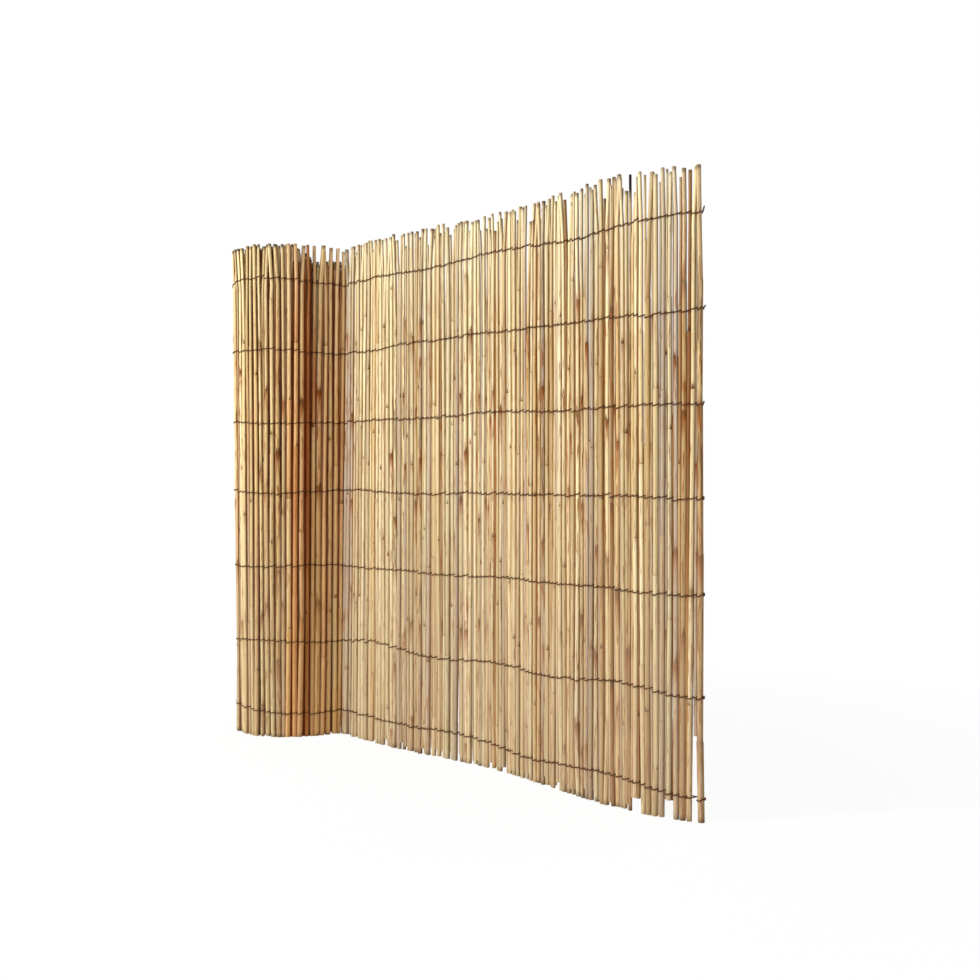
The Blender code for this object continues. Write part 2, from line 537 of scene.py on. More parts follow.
        patchy = stem.noise(self.patches)
        line = above.size().ramp(0.0018, 0.0006) + below.ramp(0.0016, 0.0005)
        line = line * (0.12 + patchy.ramp(0.42, 0.6) * 0.5)
        scar = above.size().ramp(0.010, 0.002) * patchy.ramp(0.54, 0.62) * self.scar_share
        dark = below.ramp(0.02, 0.001) * kept * worn * self.node_share
        return tree.mix((line + scar + dark).clamp(), base, self.knot)

    def _painted_light_and_wear(self, stem: StemMaps, base: Sock) -> Sock:
        """Paints light at the top, shade at the foot and on the facing sides, and darkens both
        ends.

        Args:
            stem: What the material reads.
            base: The marked colour.

        Returns:
            The weathered colour.
        """
        tree, fresh, spoil = stem.tree, stem.fresh, stem.spoil
        # Painted light on the top, painted shade on the foot.
        base = tree.mix(stem.height.ramp(0.7, 1.0) * self.top_light_share * fresh, base, self.pale)
        base = tree.mix(stem.lower * self.foot_shade_share * fresh, base, self.foot_shade)
        streaked = 0.8 + stem.streak.ramp(0.35, 0.6) * 0.2
        # Painted shade on the sides that face the next reeds, less towards the foot.
        painted_side_shade = stem.facing_side.ramp(self.side_shade_from, 1.0) * streaked
        base = tree.mix(painted_side_shade * (1.0 - stem.lower * 0.35) * self.side_shade_share, base, self.side)
        # Both ends go darker: the top over its last centimetre, the butt near the floor.
        capped = stem.from_top.ramp(0.010, 0.002) * (self.cap_share + spoil.ramp(0.3, 0.8) * 0.45)
        darker_butt = stem.height.ramp(0.012, 0.001) * (0.15 + spoil.ramp(0.3, 0.9) * 0.5)
        base = tree.mix((capped + darker_butt).clamp(), base, self.weathered)
        charred = stem.from_top.ramp(0.052, 0.02) * spoil.ramp(0.98, 0.99)
        return tree.mix(charred, base, self.burnt)

    def _shaded(self, stem: StemMaps, base: Sock) -> Sock:
        """Makes each reed and each length between two knots a little lighter or darker.

        Args:
            stem: What the material reads.
            base: The weathered colour.

        Returns:
            The final colour.
        """
        hue = self.hue + (stem.noise(self.hues) - 0.5) * self.hue_drift
        joint = (stem.length - 0.5) * self.joint_value
        value = self.least_value + stem.light * self.reed_value + joint
        # Painted shade: darker towards the floor.
        value = value * (1.0 - stem.lower * self.foot_loss)
        shade = {"Color": base, "Hue": hue, "Value": value}
        return stem.tree.add("ShaderNodeHueSaturation", None, shade)


def reed_finishes() -> dict[Place, ReedFinish]:
    """The finish of each part of the mat, with painted shade: darker sides round the roll, redder
    in the flank.

    Returns:
        The finishes by part.
    """
    # The roll's dark red-brown sides at nearly full share are painted shade in the gaps of the
    # roll.
    rolled = ReedFinish(
        name=Place.ROLL.value,
        grey=srgb(190, 164, 126),
        tan=srgb(203, 162, 106),
        straw=srgb(228, 195, 136),
        pale=srgb(246, 226, 174),
        honey=srgb(214, 166, 100),
        rust=srgb(160, 92, 38),
        umber=srgb(84, 30, 2),
        cap_share=0.6,
        side=srgb(112, 48, 2),
        side_shade_share=0.95,
        side_shade_from=0.62,
    )
    # The flank's warmer, redder colours are painted shade, standing in for the warm light bounced
    # in the fold.
    flank = ReedFinish(
        name=Place.FLANK.value,
        grey=srgb(206, 170, 130),
        tan=srgb(220, 170, 112),
        straw=srgb(246, 206, 148),
        pale=srgb(254, 230, 180),
        honey=srgb(226, 178, 122),
        rust=srgb(176, 106, 54),
        umber=srgb(112, 44, 8),
        foot_shade=srgb(216, 166, 108),
        cap_share=0.3,
        side=srgb(130, 58, 10),
        side_shade_share=0.85,
        side_shade_from=0.6,
    )
    return {Place.ROLL: rolled, Place.FLANK: flank, Place.SHEET: ReedFinish()}


@dataclass(frozen=True)
class CutEndFinish:
    """The sawn end of a reed and the inside of its hollow."""

    name: str = "cut_reed_end"
    rim: Colour = srgb(186, 152, 106)
    # hollow is the painted shade down the hollow, and the colour of the specks.
    hollow: Colour = srgb(62, 40, 24)
    roughness: float = 0.85

    def build(self) -> bpy.types.Material:
        """Makes the material: a pale rim, and painted shade that goes dark down the hollow.

        Returns:
            The material.
        """
        tree = ShaderTree.for_material(self.name)
        depth, _, _ = tree.split(tree.add("ShaderNodeUVMap", {"uv_map": "knots"}))
        where = tree.add("ShaderNodeTexCoord", None, None, "Object")
        speck = tree.noise(where, 900.0, 2.0)
        # Painted shade: darker with depth down the hollow.
        base = tree.mix(depth.ramp(0.0, 0.006), self.rim, self.hollow)
        base = tree.mix(speck.ramp(0.5, 0.7) * 0.5, base, self.hollow)
        sockets = {"Base Color": base, "Roughness": self.roughness}
        return tree.finish(tree.add("ShaderNodeBsdfPrincipled", None, sockets))


@dataclass(frozen=True)
class WireFinish:
    """Annealed binding wire, browned by the weather."""

    name: str = "browned_wire"
    brown: Colour = srgb(80, 44, 18)
    worn: Colour = srgb(120, 78, 40)

    def build(self) -> bpy.types.Material:
        """Makes the material.

        Returns:
            The material.
        """
        tree = ShaderTree.for_material(self.name)
        where = tree.add("ShaderNodeTexCoord", None, None, "Object")
        rubbed = tree.noise(where, 160.0, 3.0, 0.6).ramp(0.52, 0.7)
        sockets = {
            "Base Color": tree.mix(rubbed, self.brown, self.worn),
            "Roughness": 0.75 - rubbed * 0.15,
            "Specular IOR Level": 0.2,
        }
        return tree.finish(tree.add("ShaderNodeBsdfPrincipled", None, sockets))


@dataclass(frozen=True)
class FloorFinish:
    """A white floor that keeps the object's soft shadow and goes plain white further out."""

    name: str = "white_floor"
    white: Colour = srgb(255, 255, 255)
    shadow_share: float = 0.08
    inner_radius: float = 0.7
    outer_radius: float = 1.7

    def build(self) -> bpy.types.Material:
        """Makes the material.

        Returns:
            The material: white as seen, mixed near the object with what the lamps give it.
        """
        tree = ShaderTree.for_material(self.name)
        x, y, _ = tree.split(tree.add("ShaderNodeTexCoord", None, None, "Object"))
        away = (x * x + y * y) ** 0.5
        kept = away.ramp(self.outer_radius, self.inner_radius) * self.shadow_share
        lit = tree.add("ShaderNodeBsdfDiffuse", None, {"Color": self.white})
        white = tree.add("ShaderNodeEmission", None, {"Color": self.white, "Strength": 1.0})
        share = tree.seen_directly() * (1.0 - kept)
        return tree.finish(tree.add("ShaderNodeMixShader", None, (share, lit, white)))


# ----------------------------------------------------------- the line in plan


@dataclass(frozen=True)
class Station:
    """A place on the mat's line: its point in plan and its heading there."""

    point: Vector
    heading: float

    def beside(self, along: float, out: float) -> Vector:
        """A point this far ahead along the line and out from its front."""
        ahead = plan_vector(self.heading)
        return self.point + ahead * along + Vector((ahead.y, -ahead.x)) * out


@dataclass(frozen=True)
class MatLine:
    """The line of the reeds' axes in plan, from the innermost turn to the free end.

    A distance along it is counted from where the mat leaves the roll, and is negative in
    the roll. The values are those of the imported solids.
    """

    screen_length: float = 3.0
    pitch: float = 0.012
    roll_radius: float = 0.116
    turn_spacing: float = 0.0115
    leaving_angle_deg: float = -17.0
    flank_length: float = 0.0733
    fold_radius: float = 0.008
    fold_deg: float = -79.5
    open_stretch: float = 0.929
    open_turns_deg: tuple[float, ...] = (4.0, 9.0, -5.0, -9.0, -2.0, 10.0, 22.0)

    def bends(self) -> list[tuple[float, float]]:
        """The open part's flank, fold and waves.

        Returns:
            (length, turn in radians) of each, from the roll to the free end.
        """
        fold = math.radians(self.fold_deg)
        wave = self.open_stretch / len(self.open_turns_deg)
        arcs = [(self.flank_length, 0.0), (abs(fold) * self.fold_radius, fold)]
        return arcs + [(wave, math.radians(turn)) for turn in self.open_turns_deg]

    def distances(self) -> tuple[list[float], list[float]]:
        """Where the reeds stand.

        Returns:
            The distances of those in the roll, outermost first, and of those in the open.
        """
        open_length = sum(length for length, _ in self.bends())
        count = round(self.screen_length / self.pitch)
        inwards = [open_length - (place + 0.5) * self.pitch for place in range(count)]
        rolled = [distance for distance in inwards if distance <= 0]
        opened = [distance for distance in reversed(inwards) if distance > 0]
        return rolled, opened

    def _in_roll(self, distance: float) -> Station:
        """The station in the roll, with the roll's axis at zero.

        Args:
            distance: How far it is from where the mat leaves the roll, not above zero.

        Returns:
            The station.
        """
        loss = self.turn_spacing / math.tau
        radius = math.sqrt(self.roll_radius**2 + 2 * loss * distance)
        angle = math.radians(self.leaving_angle_deg) - (self.roll_radius - radius) / loss
        return Station(plan_vector(angle) * radius, angle + math.pi / 2)

    def _in_open(self, distance: float) -> Station:
        """The station in the open part, with the roll's axis at zero.

        Args:
            distance: How far it is from where the mat leaves the roll, not under zero.

        Returns:
            The station.
        """
        leaving = math.radians(self.leaving_angle_deg)
        point = plan_vector(leaving) * self.roll_radius
        heading = leaving + math.pi / 2
        for length, turn in self.bends():
            here = min(distance, length)
            turned = turn * here / length
            chord = here * math.sin(turned / 2) / (turned / 2) if turned else here
            point = point + plan_vector(heading + turned / 2) * chord
            heading += turned
            distance -= here
            if distance <= 0:
                break
        return Station(point, heading)

    def centre(self) -> Vector:
        """The middle of the reeds' outline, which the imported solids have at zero.

        Returns:
            The middle in plan, with the roll's axis at zero.
        """
        rolled, opened = self.distances()
        points = [self._in_roll(distance).point for distance in rolled]
        points += [self._in_open(distance).point for distance in opened]
        low = Vector((min(p.x for p in points), min(p.y for p in points)))
        high = Vector((max(p.x for p in points), max(p.y for p in points)))
        return (low + high) / 2

    def station(self, distance: float, centre: Vector) -> Station:
        """The station at a distance.

        Args:
            distance: The distance, negative in the roll.
            centre: What self.centre() gives.

        Returns:
            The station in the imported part's axes.
        """
        raw = self._in_roll(distance) if distance < 0 else self._in_open(distance)
        return Station(raw.point - centre, raw.heading)


class Side(Enum):
    """The two faces of the mat: outwards is positive on the front."""

    FRONT = 1
    REAR = -1


# ----------------------------------------------------------------------- canes


@dataclass
class Ring:
    """One ring of a cane: its height, how far it is off the axis, and its radius."""

    height: float
    offset: Vector
    radius: float


@dataclass
class Cane:
    """A reed modelled once at full length, to be copied.

    Its rings are extruded from the butt up, swell at the knots and wander off the axis.
    The top is inset and pushed down to leave the hollow.
    """

    name: str
    rng: random.Random
    sides: int = 7
    length: float = 1.0
    butt_radius: float = 0.0046
    tip_radius: float = 0.0032
    first_knot: tuple[float, float] = (0.03, 0.30)
    knot_gap: tuple[float, float] = (0.17, 0.36)
    last_knot: float = 0.9
    knot_rise: float = 0.0022
    knot_fall: float = 0.0016
    knot_swell: tuple[float, float] = (1.06, 1.16)
    held_at: float = 0.915
    bow: float = 0.0015
    tip_lean: float = 0.0050
    butt_lean: float = 0.0024
    wall: float = 0.0011
    hollow_depth: float = 0.012
    above_knot: float = 0.98
    held_past_knot: float = 0.02
    smooth_below_deg: float = 60.0
    cut_face_rise: float = 0.7
    hollow_share: float = 0.8
    hollow_reach: float = 0.02
    next_knot_past_end: float = 0.3
    rings: list[Ring] = field(default_factory=list)
    knots: list[float] = field(default_factory=list)
    spokes: np.ndarray | None = None

    def plain_radius(self, height: float) -> float:
        """The tapered stem's radius at a height, without its knots."""
        return self.butt_radius + (self.tip_radius - self.butt_radius) * height / self.length

    def _drift(self, reach: float) -> Vector:
        """A random step in plan of up to this reach."""
        return plan_vector(self.rng.uniform(0, math.tau)) * self.rng.uniform(0.1, 1.0) * reach

    def _lay_out(self) -> None:
        """Chooses the knots and the rings."""
        height = self.rng.uniform(*self.first_knot)
        while height < self.last_knot:
            self.knots.append(height)
            height += self.rng.uniform(*self.knot_gap)
        self.rings.append(Ring(0.0, self._drift(self.butt_lean), self.plain_radius(0)))
        for height in self.knots:
            drift = self._drift(self.bow)
            radius = self.plain_radius(height)
            swollen = radius * self.rng.uniform(*self.knot_swell)
            self.rings.append(Ring(height - self.knot_fall, drift, swollen))
            self.rings.append(Ring(height + self.knot_rise, drift, radius * self.above_knot))
        held = max(self.held_at, self.rings[-1].height + self.held_past_knot)
        self.rings.append(Ring(held, self._drift(self.bow), self.plain_radius(held)))
        tip = self.rings[-1].offset + self._drift(self.tip_lean)
        self.rings.append(Ring(self.length, tip, self.plain_radius(self.length)))

    def axis_at(self, height: float) -> tuple[Vector, float]:
        """The cane's axis and radius at a height.

        Args:
            height: The height, from 0 to the cane's length.

        Returns:
            The axis point in plan, and the radius.
        """
        for low, high in zip(self.rings, self.rings[1:]):
            if height <= high.height:
                share = max(0.0, (height - low.height) / (high.height - low.height))
                offset = low.offset.lerp(high.offset, share)
                return offset, low.radius + (high.radius - low.radius) * share
        return self.rings[-1].offset, self.rings[-1].radius

    def build(self, finishes: Sequence[bpy.types.Material]) -> bpy.types.Object:
        """Models the cane.

        Args:
            finishes: The stem's material and the cut ends' one.

        Returns:
            The cane, standing on the origin.
        """
        self._lay_out()
        first = self.rings[0]
        bpy.ops.object.select_all(action="DESELECT")
        bpy.ops.mesh.primitive_circle_add(
            vertices=self.sides,
            radius=first.radius,
            fill_type="NGON",
            location=(first.offset.x, first.offset.y, first.height),
        )
        cane = bpy.context.object
        cane.name = self.name
        bpy.ops.object.transform_apply(location=True, rotation=True, scale=True)
        bpy.ops.object.mode_set(mode="EDIT")
        bpy.ops.mesh.select_mode(type="FACE")
        bpy.ops.mesh.select_all(action="SELECT")
        for last, ring in zip(self.rings, self.rings[1:]):
            step = ring.offset - last.offset
            move = {"value": (step.x, step.y, ring.height - last.height)}
            bpy.ops.mesh.extrude_region_move(TRANSFORM_OT_translate=move)
            growth = ring.radius / last.radius
            middle = (ring.offset.x, ring.offset.y, ring.height)
            bpy.ops.transform.resize(value=(growth, growth, 1), center_override=middle)
        bpy.ops.mesh.inset(thickness=self.wall)
        sink = {"value": (0, 0, -self.hollow_depth)}
        bpy.ops.mesh.extrude_region_move(TRANSFORM_OT_translate=sink)
        bpy.ops.mesh.select_all(action="SELECT")
        bpy.ops.mesh.normals_make_consistent(inside=False)
        bpy.ops.object.mode_set(mode="OBJECT")
        bpy.ops.object.shade_smooth_by_angle(angle=math.radians(self.smooth_below_deg))
        for finish in finishes:
            cane.data.materials.append(finish)
        self._write_maps(cane.data)
        self._write_points(cane.data)
        return cane

    def _write_maps(self, mesh: bpy.types.Mesh) -> None:
        """Writes the stem and knot maps, and gives the cut ends their own finish.

        Args:
            mesh: The cane's mesh.
        """
        stem = mesh.uv_layers.new(name="stem")
        knots = mesh.uv_layers.new(name="knots")
        tip = self.rings[-1]
        beyond = self.next_knot_past_end
        for face in mesh.polygons:
            centre = face.center
            inside = (centre.xy - tip.offset).length < tip.radius * self.hollow_share
            hollow = inside and centre.z > tip.height - self.hollow_reach
            cut = hollow or abs(face.normal.z) > self.cut_face_rise
            face.material_index = 1 if cut else 0
            middle = centre.xy - self.axis_at(centre.z)[0]
            start = math.atan2(middle.y, middle.x)
            lower = max([-beyond] + [knot for knot in self.knots if knot <= centre.z])
            upper = min([self.length + beyond] + [knot for knot in self.knots if knot > centre.z])
            for corner in face.loop_indices:
                place = mesh.vertices[mesh.loops[corner].vertex_index].co
                spoke = place.xy - self.axis_at(place.z)[0]
                turn = middle.angle_signed(spoke, 0.0) if middle.length > 1e-7 else 0.0
                stem.data[corner].uv = ((start - turn) / math.tau, place.z)
                depth = (max(0.0, tip.height - place.z), 0.0)
                knots.data[corner].uv = depth if cut else (place.z - lower, upper - place.z)

    def _write_points(self, mesh: bpy.types.Mesh) -> None:
        """Writes how far each point is from the top, and keeps which way it faces.

        Args:
            mesh: The cane's mesh.
        """
        from_top = mesh.attributes.new(name="from_top", type="FLOAT", domain="POINT")
        from_top.data.foreach_set("value", [self.length - v.co.z for v in mesh.vertices])
        spokes = [v.co.xy - self.axis_at(v.co.z)[0] for v in mesh.vertices]
        self.spokes = np.array([math.atan2(spoke.y, spoke.x) for spoke in spokes])


@dataclass
class StandingReed:
    """A copy of a cane where it stands in the mat."""

    cane: Cane
    matrix: Matrix
    girth: float
    spin: float
    spoil: float
    tone: Tone = Tone.STRAW
    part: Place = Place.SHEET

    def slope(self) -> Vector:
        """How far it leans in plan in a metre."""
        return Vector((self.matrix[0][2], self.matrix[1][2]))

    def at(self, height: float) -> tuple[Vector, float]:
        """Where the reed passes a height.

        Args:
            height: The height above the floor.

        Returns:
            Its axis in plan and its radius there.
        """
        own = (height - self.matrix[2][3]) / self.matrix[2][2]
        offset, radius = self.cane.axis_at(own)
        place = self.matrix @ Vector((offset.x, offset.y, own))
        return place.xy, radius * self.girth


@dataclass(frozen=True)
class Run:
    """One run of reeds: its piece, the node it stands for and how it is made up.

    Its reeds are cut short by up to the first cut_scatter, and further along the mat by up
    to the second. They lean up to tilt in a metre, and a crooked_share of them leans more.
    """

    name: str
    node: str
    cut_scatter: tuple[float, float]
    tilt: float
    crooked_share: float


@dataclass(frozen=True)
class Fill:
    """The thin reeds that are tucked in behind the gaps in one part of the mat.

    They stand from depth to most_depth behind the line. Their radius is over more than half
    the gap, their tips are drop under the mat's top, and their butts rise off the floor.
    """

    depth: float
    most_depth: float
    over: tuple[float, float]
    drop: tuple[float, float]
    rise: tuple[float, float]
    # Their tones are darker and greyer than the front reeds': painted shade in the gaps.
    tones: dict[Tone, float]


@dataclass
class Bunch:
    """What one twist of the wires holds: a reed and maybe a thin one tucked in after it.

    A taut wire is followed from touch radii before the first reed's axis to touch radii past
    the last one's, at these shares of the way.
    """

    run: Run
    distance: float
    station: Station
    reed: StandingReed
    foot: float
    tucked: StandingReed | None = None
    touch: float = 0.86
    shares: tuple[float, ...] = (0.0, 0.18, 0.36, 0.5, 0.64, 0.82, 1.0)

    def reeds(self) -> list[StandingReed]:
        """Its one or two reeds, in their order along the line."""
        return [self.reed, self.tucked] if self.tucked else [self.reed]

    def profile(self, height: float, side: Side, clearance: float) -> list[tuple[float, float]]:
        """The line that a taut wire takes round one face of the bunch.

        Args:
            height: How high the wire passes.
            side: The face that it passes.
            clearance: How far the wire's middle stays off the reeds.

        Returns:
            Points as (distance along, distance out from the front), along the line.
        """
        ahead = plan_vector(self.station.heading)
        outward = Vector((ahead.y, -ahead.x)) * side.value
        circles = []
        for reed in self.reeds():
            centre, radius = reed.at(height)
            apart = centre - self.station.point
            circles.append((apart.dot(ahead), apart.dot(outward), radius + clearance))
        low = circles[0][0] - self.touch * circles[0][2]
        high = circles[-1][0] + self.touch * circles[-1][2]
        taut: list[Vector] = []
        for share in self.shares:
            here = low + (high - low) * share
            held = [
                out + math.sqrt(reach**2 - (here - along) ** 2)
                for along, out, reach in circles
                if abs(here - along) < reach
            ]
            if not held:
                continue
            spot = Vector((here, max(held)))
            while len(taut) > 1 and (taut[-1] - taut[-2]).cross(spot - taut[-1]) > 0:
                taut.pop()
            taut.append(spot)
        return [(spot.x, side.value * spot.y) for spot in taut]


# --------------------------------------------------------------------- the mat


@dataclass(frozen=True)
class EndReed:
    """What sets one reed near the free end apart. Its place is counted from that end.

    Its butt is foot off the floor and its tip drop under the mat's top. It stands shift
    further on, and leans lean along the mat in a metre.
    """

    place: int
    girth: float
    foot: float
    drop: float
    shift: float
    lean: float
    tone: Tone
    spoil: float = 0.5


@dataclass
class ReedMat:
    """All the reeds, in the roll and in the open."""

    line: MatLine
    seed: int = 21
    height: float = 1.0

    # The kinds of cane, how many reeds pass before one comes again, and how far the maps of
    # two copies may be apart.
    kinds: int = 28
    unlike: int = 8
    map_shift: float = 40

    # Thickness, as shares of a cane's own, and the middle radius of the canes.
    plain_radius: float = 0.0039
    girths: tuple[float, ...] = (0.80, 0.90, 1.00, 1.08, 1.18, 1.32)
    girth_weights: tuple[float, ...] = (0.14, 0.24, 0.32, 0.18, 0.09, 0.03)
    roll_girth: float = 1.09
    flank_girth: float = 1.2

    # Distances along the mat where the flank begins and ends, where the grey reeds of the
    # fold end, and where the darker tones of the free end begin and prevail.
    flank_places: tuple[float, float] = (-0.038, 0.082)
    fold_until: float = 0.126
    end_places: tuple[float, float] = (0.62, 0.80)

    # How far the reeds stand off their places, and how they lean in a metre.
    pitch_scatter: float = 0.0008
    depth_scatter: float = 0.0008
    crooked_slope: float = 0.0085
    calm_places: tuple[float, float] = (0.35, 0.65)
    calm_share: float = 0.2
    flare: float = 0.0105
    flare_places: tuple[float, float] = (-0.05, 0.04)
    fold_lean: tuple[float, float] = (0.0054, 0.0059)
    fold_places: tuple[float, ...] = (-0.05, 0.04, 0.09, 0.25)

    # How they are cut, lower on the side of the roll that the flank hides.
    short_share: float = 0.07
    short_by: float = 0.012
    foot_scatter: float = 0.002
    scatter_places: tuple[float, float] = (0.10, 0.50)
    dip: float = 0.034
    dip_turns_deg: tuple[float, ...] = (-30.0, -5.0, 50.0, 85.0)

    # The thin reeds: their radius, where their gaps are measured, and the last one's butt.
    tuck_radius: tuple[float, float] = (0.0016, 0.0038)
    gap_heights: tuple[float, ...] = (0.15, 0.85)
    last_tuck_foot: float = 0.13

    # Only a reed of the free end is more spoilt than this.
    most_spoil: float = 0.97
    end_reeds: tuple[EndReed, ...] = (
        EndReed(0, 1.14, 0.0, 0.007, 0.0010, 0.0, Tone.HONEY, spoil=0.95),
        EndReed(1, 0.95, 0.0, 0.009, 0.0005, 0.007, Tone.STRAW, spoil=0.6),
        EndReed(2, 1.08, 0.0, 0.010, 0.0, 0.004, Tone.HONEY, spoil=0.9),
        EndReed(4, 0.95, 0.028, 0.012, 0.0, 0.0, Tone.PALE),
        EndReed(9, 0.90, 0.022, 0.008, 0.0, 0.0, Tone.STRAW),
        EndReed(10, 0.70, 0.0, 0.004, 0.0, 0.0, Tone.HONEY, spoil=1.0),
    )
    recent: list[str] = field(default_factory=list)
    bunches: list[Bunch] = field(default_factory=list)

    def __post_init__(self) -> None:
        """Seeds the draws, finds the middle of the mat and sets the shares of tones."""
        self.rng = random.Random(self.seed)
        self.centre = self.line.centre()
        self.tones = {
            Tone.GREY: 0.12,
            Tone.STRAW: 0.43,
            Tone.PALE: 0.30,
            Tone.HONEY: 0.13,
            Tone.RUST: 0.02,
        }
        # The greyer reeds just past the fold are painted half shade.
        self.fold_tones = {Tone.GREY: 0.55, Tone.STRAW: 0.15, Tone.PALE: 0.30}
        self.end_tones = {
            Tone.GREY: 0.24,
            Tone.STRAW: 0.36,
            Tone.PALE: 0.16,
            Tone.HONEY: 0.18,
            Tone.RUST: 0.06,
        }
        # Near the free end the thin reeds are greyer and redder, painted shade between the reeds.
        self.end_fill_tones = {Tone.GREY: 0.34, Tone.HONEY: 0.18, Tone.RUST: 0.48}
        self.rolled_tones = {
            Tone.GREY: 0.06,
            Tone.STRAW: 0.46,
            Tone.PALE: 0.32,
            Tone.HONEY: 0.16,
        }
        # The flank's redder, browner tones are painted shade.
        self.flank_tones = {
            Tone.GREY: 0.12,
            Tone.STRAW: 0.28,
            Tone.PALE: 0.06,
            Tone.HONEY: 0.46,
            Tone.RUST: 0.08,
        }
        self.rolled = Run(
            name="rolled_reeds",
            node="reed_roll",
            cut_scatter=(0.004, 0.004),
            tilt=0.0028,
            crooked_share=0.08,
        )
        self.opened = Run(
            name="opened_reeds",
            node="reed_sheet",
            cut_scatter=(0.004, 0.009),
            tilt=0.0036,
            crooked_share=0.2,
        )
        self.fills = {
            # The roll's and the flank's thin reeds are mostly umber, painted shade in the gaps.
            Place.ROLL: Fill(
                depth=0.0022,
                most_depth=0.006,
                over=(0.0001, 0.0008),
                drop=(0.004, 0.030),
                rise=(0.0, 0.003),
                tones={Tone.UMBER: 0.74, Tone.RUST: 0.12, Tone.STRAW: 0.08, Tone.HONEY: 0.06},
            ),
            Place.FLANK: Fill(
                depth=0.0020,
                most_depth=0.006,
                over=(0.0001, 0.0006),
                drop=(0.028, 0.052),
                rise=(0.0, 0.002),
                tones={Tone.UMBER: 0.58, Tone.RUST: 0.42},
            ),
            Place.SHEET: Fill(
                depth=0.0006,
                most_depth=0.0011,
                over=(0.0001, 0.0005),
                drop=(0.003, 0.036),
                rise=(0.0, 0.016),
                tones={Tone.GREY: 0.34, Tone.STRAW: 0.22, Tone.HONEY: 0.28, Tone.RUST: 0.16},
            ),
        }

    def build(self, stems: dict[Place, bpy.types.Material], cut: bpy.types.Material) -> None:
        """Models the canes, then the two pieces made of their copies.

        Args:
            stems: The material of the stems in each part.
            cut: The material of the cut ends.
        """
        canes = [Cane(f"cane_{count}", self.rng) for count in range(self.kinds)]
        masters = {cane.name: cane.build((stems[Place.SHEET], cut)) for cane in canes}
        rolled, opened = self.line.distances()
        self.bunches = [self._stand(canes, distance) for distance in sorted(rolled) + opened]
        for bunch, after in zip(self.bunches, self.bunches[1:]):
            self._tuck(canes, bunch, after)
        for run in (self.rolled, self.opened):
            held = [bunch for bunch in self.bunches if bunch.run is run]
            reeds = [reed for bunch in held for reed in bunch.reeds()]
            copies = [self._copy(reed, masters[reed.cane.name], stems) for reed in reeds]
            select_only(*copies)
            bpy.ops.object.join()
            piece = bpy.context.object
            piece.name = run.name
            piece.data.name = run.name
            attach(piece, "root")
            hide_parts(run.node)
            LOG.info("%s: %d reeds, %d faces", run.name, len(copies), len(piece.data.polygons))
        for master in masters.values():
            bpy.data.objects.remove(master)

    def _from_end(self, distance: float) -> int:
        """A reed's place, counted from the free end."""
        return round((self.line.distances()[1][-1] - distance) / self.line.pitch)

    def _stand(self, canes: Sequence[Cane], distance: float) -> Bunch:
        """Stands one of the thicker reeds.

        Args:
            canes: The kinds of cane.
            distance: Where it stands along the line.

        Returns:
            A bunch with this reed alone.
        """
        rng = self.rng
        run = self.rolled if distance <= 0 else self.opened
        near = distance + rng.uniform(-1, 1) * self.pitch_scatter
        station = self.line.station(near, self.centre)
        tone = self._draw(self._tones_at(distance))
        girth = rng.choices(self.girths, self.girth_weights)[0]
        part = self._part(distance)
        if part is not Place.SHEET:
            girth *= self.roll_girth if part is Place.ROLL else self.flank_girth
        low, high = self._cut(run, distance)
        if part is Place.ROLL:
            high -= self._dip_at(station)
        slope = self._lean(run, station, distance)
        calm = float(np.interp(distance, self.calm_places, (self.calm_share, 1)))
        if rng.random() < run.crooked_share * calm:
            slope += plan_vector(station.heading) * rng.uniform(-1, 1) * self.crooked_slope
        shift, spoil = 0.0, rng.random() * self.most_spoil
        for end in self.end_reeds:
            if end.place == self._from_end(distance):
                tone, girth, low, shift = end.tone, end.girth, end.foot, end.shift
                high, spoil = self.height - end.drop, end.spoil
                slope = plan_vector(station.heading) * end.lean
        point = station.beside(shift, rng.uniform(-1, 1) * self.depth_scatter)
        reed = self._place(canes, station, point, slope, girth, (low, high))
        reed.tone, reed.part, reed.spoil = tone, part, spoil
        return Bunch(run, near, station, reed, low)

    def _tuck(self, canes: Sequence[Cane], bunch: Bunch, after: Bunch) -> None:
        """Tucks a thin reed in behind a gap, against both of the reeds beside it.

        Args:
            canes: The kinds of cane.
            bunch: The bunch before the gap.
            after: The bunch after it.
        """
        rng = self.rng
        part = bunch.reed.part
        fill = self.fills[part]
        near, near_radius = bunch.reed.at(self.height / 2)
        far, far_radius = after.reed.at(self.height / 2)
        apart = (far - near).length
        gap = apart - near_radius - far_radius
        thin, thick = self.tuck_radius
        widest = max(gap, *(self._gap_at(bunch, after, height) for height in self.gap_heights))
        radius = min(max((gap + widest) / 4 + rng.uniform(*fill.over), thin), thick)
        along = near_radius + gap / 2
        touching = max(
            (near_radius + radius) ** 2 - along**2,
            (far_radius + radius) ** 2 - (apart - along) ** 2,
            0.0,
        )
        ahead = (far - near) / apart
        inward = Vector((-ahead.y, ahead.x))
        depth = min(max(math.sqrt(touching), fill.depth), fill.most_depth)
        point = near + ahead * along + inward * depth
        low = max(bunch.foot, after.foot)
        if after is self.bunches[-1]:
            low = self.last_tuck_foot
        elif low < self.foot_scatter:
            low += rng.uniform(*fill.rise)
        high = self.height - rng.uniform(*fill.drop)
        if part is Place.ROLL:
            high -= self._dip_at(bunch.station)
        slope = (bunch.reed.slope() + after.reed.slope()) / 2
        girth = radius / self.plain_radius
        reed = self._place(canes, bunch.station, point, slope, girth, (low, high))
        near_end = part is Place.SHEET and np.interp(bunch.distance, self.end_places, (0, 1))
        # The thin reed's darker tone is painted shade in its gap.
        tones = self.end_fill_tones if rng.random() < near_end else fill.tones
        reed.tone, reed.part = self._draw(tones), part
        bunch.tucked = reed

